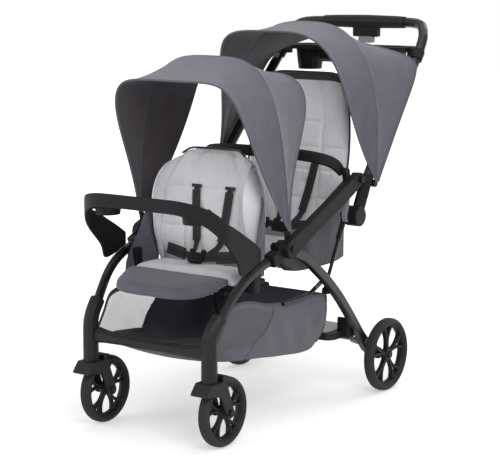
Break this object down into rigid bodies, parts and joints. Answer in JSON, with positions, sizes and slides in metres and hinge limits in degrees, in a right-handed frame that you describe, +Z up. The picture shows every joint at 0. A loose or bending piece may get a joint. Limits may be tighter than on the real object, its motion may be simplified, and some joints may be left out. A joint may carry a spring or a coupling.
{
  "type": "sit and stand stroller",
  "caption": "Folding double sit and stand stroller with a front seat, a rear seat over a standing platform, canopies, trays and basket.",
  "frame": {"origin": "middle of the footprint on the ground", "axes": "-Y forward (the way the children face), +X the seated child's left, +Z up"},
  "size_m": [0.585, 1.1908, 1.1219],
  "materials": {
    "black_plastic": "satin moulded",
    "black_paint": "semi-gloss powder coat",
    "tyre_rubber": "matte",
    "slate_fabric": "woven polyester",
    "light_fabric": "soft padded cover",
    "webbing": "woven webbing",
    "grey_plastic": "satin moulded",
    "deck_grey": "matte textured",
    "foam": "foam"
  },
  "bodies": {
    "frame": {"front_leg_left": "black_paint", "front_leg_right": "black_paint", "caster_housing_left": "black_plastic", "caster_housing_right": "black_plastic", "side_bar_left": "black_plastic", "side_bar_right": "black_plastic", "front_crossbar": "black_plastic", "hub_bolt_left": "black_plastic", "hub_bolt_right": "black_plastic", "handle_bolt_left": "black_plastic", "handle_bolt_right": "black_plastic", "front_canopy_rear_panel": "slate_fabric", "front_seat_base": "black_plastic", "front_seat_pad": "light_fabric", "front_seat_lip": "slate_fabric", "rear_seat_base": "black_plastic", "rear_seat_pad": "light_fabric", "basket": "slate_fabric"},
    "handle": {"handle_tube": "black_paint", "handle_hub_left": "black_plastic", "handle_hub_right": "black_plastic", "handle_grip": "foam", "trigger_housing": "black_plastic", "parent_tray": "black_plastic", "rear_canopy_rear_panel": "slate_fabric"},
    "struts": {"strut_left": "black_paint", "strut_right": "black_paint"},
    "rear_frame": {"rear_leg_left": "black_paint", "rear_leg_right": "black_paint", "rear_axle_left": "black_plastic", "rear_axle_right": "black_plastic", "standing_platform": "black_plastic", "platform_deck": "deck_grey"},
    "caster_left": {"caster_fork_left": "black_plastic", "front_axle_left": "black_plastic"},
    "caster_right": {"caster_fork_right": "black_plastic", "front_axle_right": "black_plastic"},
    "front_wheel_left": {"front_tyre_left": "tyre_rubber", "front_rim_left": "black_plastic"},
    "front_wheel_right": {"front_tyre_right": "tyre_rubber", "front_rim_right": "black_plastic"},
    "rear_wheel_left": {"rear_tyre_left": "tyre_rubber", "rear_rim_left": "black_plastic"},
    "rear_wheel_right": {"rear_tyre_right": "tyre_rubber", "rear_rim_right": "black_plastic"},
    "front_canopy": {"front_canopy_front_panel": "slate_fabric"},
    "rear_canopy": {"rear_canopy_front_panel": "slate_fabric"},
    "front_backrest": {"front_backrest": "light_fabric", "front_harness": "webbing"},
    "rear_backrest": {"rear_backrest": "light_fabric", "rear_harness": "webbing"},
    "child_tray": {"child_tray": "black_plastic"},
    "belly_bar": {"belly_bar": "black_plastic"},
    "fold_trigger": {"fold_trigger": "grey_plastic"},
    "latches": {"latch_lever_left": "grey_plastic", "latch_lever_right": "grey_plastic"},
    "brake": {"brake_bar": "grey_plastic"},
    "swivel_lock_left": {"swivel_lock_left": "black_plastic"},
    "swivel_lock_right": {"swivel_lock_right": "black_plastic"}
  },
  "joints": [
    {"name": "handle_fold", "type": "hinge", "parent": "frame", "child": "handle", "pos_m": [0, 0.09755, 0.666], "axis": [1, 0, 0], "range_deg": [0, 110], "deforming": ["front_canopy_front_panel", "front_canopy_rear_panel", "rear_canopy_front_panel", "rear_canopy_rear_panel", "basket"]},
    {"name": "rear_leg_fold", "type": "hinge", "parent": "frame", "child": "rear_frame", "pos_m": [0, -0.25545, 0.512], "axis": [1, 0, 0], "range_deg": [0, 35]},
    {"name": "strut_swing", "type": "hinge", "parent": "handle", "child": "struts", "pos_m": [0, 0.08455, 0.559], "axis": [1, 0, 0], "range_deg": [-131, 0]},
    {"name": "front_canopy_fold", "type": "hinge", "parent": "frame", "child": "front_canopy", "pos_m": [0, -0.25445, 0.556], "axis": [1, 0, 0], "range_deg": [-26, 0]},
    {"name": "rear_canopy_fold", "type": "hinge", "parent": "handle", "child": "rear_canopy", "pos_m": [0, 0.15855, 0.648], "axis": [1, 0, 0], "range_deg": [-24, 0]},
    {"name": "front_recline", "type": "hinge", "parent": "frame", "child": "front_backrest", "pos_m": [0, -0.24945, 0.4183], "axis": [1, 0, 0], "range_deg": [-25, 0]},
    {"name": "rear_recline", "type": "hinge", "parent": "frame", "child": "rear_backrest", "pos_m": [0, 0.14155, 0.4403], "axis": [1, 0, 0], "range_deg": [-15, 0]},
    {"name": "child_tray_swing", "type": "hinge", "parent": "frame", "child": "child_tray", "pos_m": [-0.232, -0.40845, 0.48], "axis": [0, 0, 1], "range_deg": [-75, 0]},
    {"name": "belly_bar_lift", "type": "hinge", "parent": "frame", "child": "belly_bar", "pos_m": [0, 0.05455, 0.69], "axis": [1, 0, 0], "range_deg": [-60, 0]},
    {"name": "fold_trigger_pull", "type": "slide", "parent": "handle", "child": "fold_trigger", "axis": [0, 0, 1], "range_m": [0, 0.008], "stiffness_N_per_m": 400, "springref_m": -0.005},
    {"name": "latch_release", "type": "hinge", "parent": "handle", "child": "latches", "pos_m": [0, 0.08455, 0.559], "axis": [1, 0, 0], "range_deg": [0, 13]},
    {"name": "brake_press", "type": "hinge", "parent": "rear_frame", "child": "brake", "pos_m": [0, 0.17955, 0.164], "axis": [1, 0, 0], "range_deg": [-18, 0]},
    {"name": "caster_swivel_left", "type": "hinge", "parent": "frame", "child": "caster_left", "pos_m": [0.206, -0.54845, 0.19], "axis": [0, 0, 1], "continuous": true},
    {"name": "front_wheel_spin_left", "type": "hinge", "parent": "caster_left", "child": "front_wheel_left", "pos_m": [0.206, -0.48945, 0.097], "axis": [1, 0, 0], "continuous": true},
    {"name": "rear_wheel_spin_left", "type": "hinge", "parent": "rear_frame", "child": "rear_wheel_left", "pos_m": [0.2705, 0.26255, 0.111], "axis": [1, 0, 0], "continuous": true},
    {"name": "swivel_lock_flip_left", "type": "hinge", "parent": "caster_left", "child": "swivel_lock_left", "pos_m": [0.206, -0.51445, 0.1975], "axis": [1, 0, 0], "range_deg": [0, 25]},
    {"name": "caster_swivel_right", "type": "hinge", "parent": "frame", "child": "caster_right", "pos_m": [-0.206, -0.54845, 0.19], "axis": [0, 0, 1], "continuous": true},
    {"name": "front_wheel_spin_right", "type": "hinge", "parent": "caster_right", "child": "front_wheel_right", "pos_m": [-0.206, -0.48945, 0.097], "axis": [1, 0, 0], "continuous": true},
    {"name": "rear_wheel_spin_right", "type": "hinge", "parent": "rear_frame", "child": "rear_wheel_right", "pos_m": [-0.2705, 0.26255, 0.111], "axis": [1, 0, 0], "continuous": true},
    {"name": "swivel_lock_flip_right", "type": "hinge", "parent": "caster_right", "child": "swivel_lock_right", "pos_m": [-0.206, -0.51445, 0.1975], "axis": [1, 0, 0], "range_deg": [0, 25]}
  ],
  "couplings": [
    {"joint": "rear_leg_fold", "follows": "handle_fold", "ratio": 0.316},
    {"joint": "strut_swing", "follows": "handle_fold", "ratio": -1.185},
    {"joint": "latch_release", "follows": "fold_trigger_pull", "rad_per_m": 26.18}
  ]
}
